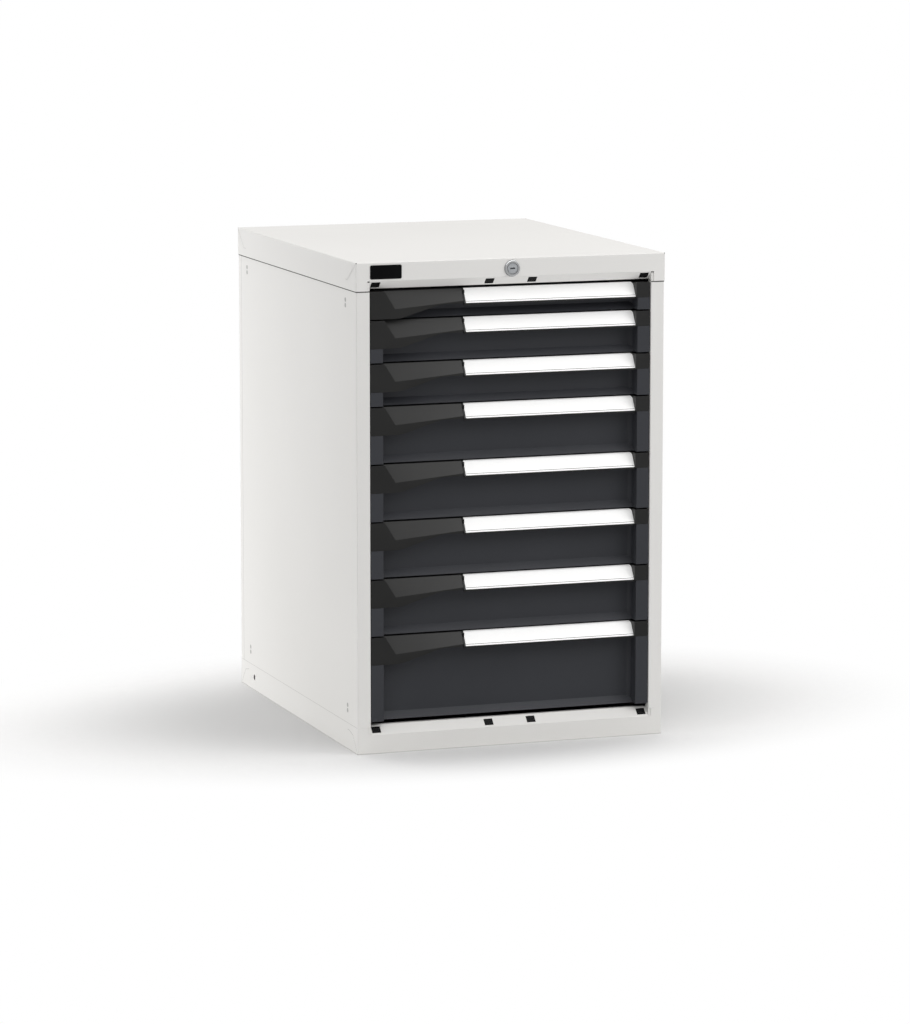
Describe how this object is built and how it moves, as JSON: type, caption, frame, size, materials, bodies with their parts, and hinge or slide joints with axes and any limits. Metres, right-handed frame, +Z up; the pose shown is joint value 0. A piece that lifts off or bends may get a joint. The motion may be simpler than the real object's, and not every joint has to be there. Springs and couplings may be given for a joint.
{
  "type": "multi-drawer cabinet",
  "caption": "Free-standing steel drawer cabinet with stacked shallow drawers, angled label strips, tilting grips and one central lock.",
  "frame": {"origin": "centre of the cabinet's footprint on the floor", "axes": "+Z up, -Y towards the drawer fronts, +X to the right seen from the front"},
  "size_m": [0.564, 0.7028, 0.85],
  "materials": {
    "case_paint": "fine textured powder coat",
    "front_paint": "fine textured powder coat",
    "tray_paint": "fine textured powder coat",
    "handle_plastic": "matte moulded",
    "label_white": "smooth card behind film",
    "black_plastic": "matte moulded",
    "zinc": "zinc plated",
    "chrome": "polished",
    "lock_steel": "satin"
  },
  "bodies": {
    "case": {"side_panel_left": "case_paint", "side_panel_right": "case_paint", "back_panel": "case_paint", "base_pan": "case_paint", "top_cap": "case_paint", "slot_plugs": "black_plastic", "runner_uprights": "zinc", "cabinet_rails": "zinc", "lock_body": "chrome", "lock_bar_guides": "zinc"},
    "lock_plug": {"lock_plug": "lock_steel"},
    "lock_bar": {"lock_bar": "zinc"},
    "drawer_1": {"drawer_1_tray": "tray_paint", "drawer_1_front": "front_paint", "drawer_1_handle": "handle_plastic", "drawer_1_label": "label_white"},
    "drawer_1_grip": {"drawer_1_grip": "handle_plastic"},
    "drawer_1_carriages": {"drawer_1_carriages": "zinc"},
    "drawer_2": {"drawer_2_tray": "tray_paint", "drawer_2_front": "front_paint", "drawer_2_handle": "handle_plastic", "drawer_2_label": "label_white"},
    "drawer_2_grip": {"drawer_2_grip": "handle_plastic"},
    "drawer_2_carriages": {"drawer_2_carriages": "zinc"},
    "drawer_3": {"drawer_3_tray": "tray_paint", "drawer_3_front": "front_paint", "drawer_3_handle": "handle_plastic", "drawer_3_label": "label_white"},
    "drawer_3_grip": {"drawer_3_grip": "handle_plastic"},
    "drawer_3_carriages": {"drawer_3_carriages": "zinc"},
    "drawer_4": {"drawer_4_tray": "tray_paint", "drawer_4_front": "front_paint", "drawer_4_handle": "handle_plastic", "drawer_4_label": "label_white"},
    "drawer_4_grip": {"drawer_4_grip": "handle_plastic"},
    "drawer_4_carriages": {"drawer_4_carriages": "zinc"},
    "drawer_5": {"drawer_5_tray": "tray_paint", "drawer_5_front": "front_paint", "drawer_5_handle": "handle_plastic", "drawer_5_label": "label_white"},
    "drawer_5_grip": {"drawer_5_grip": "handle_plastic"},
    "drawer_5_carriages": {"drawer_5_carriages": "zinc"},
    "drawer_6": {"drawer_6_tray": "tray_paint", "drawer_6_front": "front_paint", "drawer_6_handle": "handle_plastic", "drawer_6_label": "label_white"},
    "drawer_6_grip": {"drawer_6_grip": "handle_plastic"},
    "drawer_6_carriages": {"drawer_6_carriages": "zinc"},
    "drawer_7": {"drawer_7_tray": "tray_paint", "drawer_7_front": "front_paint", "drawer_7_handle": "handle_plastic", "drawer_7_label": "label_white"},
    "drawer_7_grip": {"drawer_7_grip": "handle_plastic"},
    "drawer_7_carriages": {"drawer_7_carriages": "zinc"},
    "drawer_8": {"drawer_8_tray": "tray_paint", "drawer_8_front": "front_paint", "drawer_8_handle": "handle_plastic", "drawer_8_label": "label_white"},
    "drawer_8_grip": {"drawer_8_grip": "handle_plastic"},
    "drawer_8_carriages": {"drawer_8_carriages": "zinc"}
  },
  "joints": [
    {"name": "lock_turn", "type": "hinge", "parent": "case", "child": "lock_plug", "pos_m": [0, -0.35, 0.832], "axis": [0, 1, 0], "range_deg": [0, 90]},
    {"name": "lock_bar_lift", "type": "slide", "parent": "case", "child": "lock_bar", "axis": [0, 0, 1], "range_m": [0, 0.009]},
    {"name": "drawer_1_slide", "type": "slide", "parent": "case", "child": "drawer_1", "axis": [0, -1, 0], "range_m": [0, 0.6]},
    {"name": "drawer_1_carriage_slide", "type": "slide", "parent": "case", "child": "drawer_1_carriages", "axis": [0, -1, 0], "range_m": [0, 0.3]},
    {"name": "drawer_1_grip_tilt", "type": "hinge", "parent": "drawer_1", "child": "drawer_1_grip", "pos_m": [-0.1704, -0.332, 0.7946], "axis": [-1, 0, 0], "range_deg": [0, 6], "stiffness_Nm_per_rad": 0.5, "springref_deg": -2.86},
    {"name": "drawer_2_slide", "type": "slide", "parent": "case", "child": "drawer_2", "axis": [0, -1, 0], "range_m": [0, 0.6]},
    {"name": "drawer_2_carriage_slide", "type": "slide", "parent": "case", "child": "drawer_2_carriages", "axis": [0, -1, 0], "range_m": [0, 0.3]},
    {"name": "drawer_2_grip_tilt", "type": "hinge", "parent": "drawer_2", "child": "drawer_2_grip", "pos_m": [-0.1704, -0.332, 0.74486], "axis": [-1, 0, 0], "range_deg": [0, 6], "stiffness_Nm_per_rad": 0.5, "springref_deg": -2.86},
    {"name": "drawer_3_slide", "type": "slide", "parent": "case", "child": "drawer_3", "axis": [0, -1, 0], "range_m": [0, 0.6]},
    {"name": "drawer_3_carriage_slide", "type": "slide", "parent": "case", "child": "drawer_3_carriages", "axis": [0, -1, 0], "range_m": [0, 0.3]},
    {"name": "drawer_3_grip_tilt", "type": "hinge", "parent": "drawer_3", "child": "drawer_3_grip", "pos_m": [-0.1704, -0.332, 0.67025], "axis": [-1, 0, 0], "range_deg": [0, 6], "stiffness_Nm_per_rad": 0.5, "springref_deg": -2.86},
    {"name": "drawer_4_slide", "type": "slide", "parent": "case", "child": "drawer_4", "axis": [0, -1, 0], "range_m": [0, 0.6]},
    {"name": "drawer_4_carriage_slide", "type": "slide", "parent": "case", "child": "drawer_4_carriages", "axis": [0, -1, 0], "range_m": [0, 0.3]},
    {"name": "drawer_4_grip_tilt", "type": "hinge", "parent": "drawer_4", "child": "drawer_4_grip", "pos_m": [-0.1704, -0.332, 0.59564], "axis": [-1, 0, 0], "range_deg": [0, 6], "stiffness_Nm_per_rad": 0.5, "springref_deg": -2.86},
    {"name": "drawer_5_slide", "type": "slide", "parent": "case", "child": "drawer_5", "axis": [0, -1, 0], "range_m": [0, 0.6]},
    {"name": "drawer_5_carriage_slide", "type": "slide", "parent": "case", "child": "drawer_5_carriages", "axis": [0, -1, 0], "range_m": [0, 0.3]},
    {"name": "drawer_5_grip_tilt", "type": "hinge", "parent": "drawer_5", "child": "drawer_5_grip", "pos_m": [-0.1704, -0.332, 0.49616], "axis": [-1, 0, 0], "range_deg": [0, 6], "stiffness_Nm_per_rad": 0.5, "springref_deg": -2.86},
    {"name": "drawer_6_slide", "type": "slide", "parent": "case", "child": "drawer_6", "axis": [0, -1, 0], "range_m": [0, 0.6]},
    {"name": "drawer_6_carriage_slide", "type": "slide", "parent": "case", "child": "drawer_6_carriages", "axis": [0, -1, 0], "range_m": [0, 0.3]},
    {"name": "drawer_6_grip_tilt", "type": "hinge", "parent": "drawer_6", "child": "drawer_6_grip", "pos_m": [-0.1704, -0.332, 0.39668], "axis": [-1, 0, 0], "range_deg": [0, 6], "stiffness_Nm_per_rad": 0.5, "springref_deg": -2.86},
    {"name": "drawer_7_slide", "type": "slide", "parent": "case", "child": "drawer_7", "axis": [0, -1, 0], "range_m": [0, 0.6]},
    {"name": "drawer_7_carriage_slide", "type": "slide", "parent": "case", "child": "drawer_7_carriages", "axis": [0, -1, 0], "range_m": [0, 0.3]},
    {"name": "drawer_7_grip_tilt", "type": "hinge", "parent": "drawer_7", "child": "drawer_7_grip", "pos_m": [-0.1704, -0.332, 0.2972], "axis": [-1, 0, 0], "range_deg": [0, 6], "stiffness_Nm_per_rad": 0.5, "springref_deg": -2.86},
    {"name": "drawer_8_slide", "type": "slide", "parent": "case", "child": "drawer_8", "axis": [0, -1, 0], "range_m": [0, 0.6]},
    {"name": "drawer_8_carriage_slide", "type": "slide", "parent": "case", "child": "drawer_8_carriages", "axis": [0, -1, 0], "range_m": [0, 0.3]},
    {"name": "drawer_8_grip_tilt", "type": "hinge", "parent": "drawer_8", "child": "drawer_8_grip", "pos_m": [-0.1704, -0.332, 0.19772], "axis": [-1, 0, 0], "range_deg": [0, 6], "stiffness_Nm_per_rad": 0.5, "springref_deg": -2.86}
  ],
  "couplings": [
    {"joint": "lock_turn", "follows": "lock_bar_lift", "rad_per_m": 174.53},
    {"joint": "drawer_1_carriage_slide", "follows": "drawer_1_slide", "ratio": 0.5},
    {"joint": "drawer_2_carriage_slide", "follows": "drawer_2_slide", "ratio": 0.5},
    {"joint": "drawer_3_carriage_slide", "follows": "drawer_3_slide", "ratio": 0.5},
    {"joint": "drawer_4_carriage_slide", "follows": "drawer_4_slide", "ratio": 0.5},
    {"joint": "drawer_5_carriage_slide", "follows": "drawer_5_slide", "ratio": 0.5},
    {"joint": "drawer_6_carriage_slide", "follows": "drawer_6_slide", "ratio": 0.5},
    {"joint": "drawer_7_carriage_slide", "follows": "drawer_7_slide", "ratio": 0.5},
    {"joint": "drawer_8_carriage_slide", "follows": "drawer_8_slide", "ratio": 0.5}
  ]
}
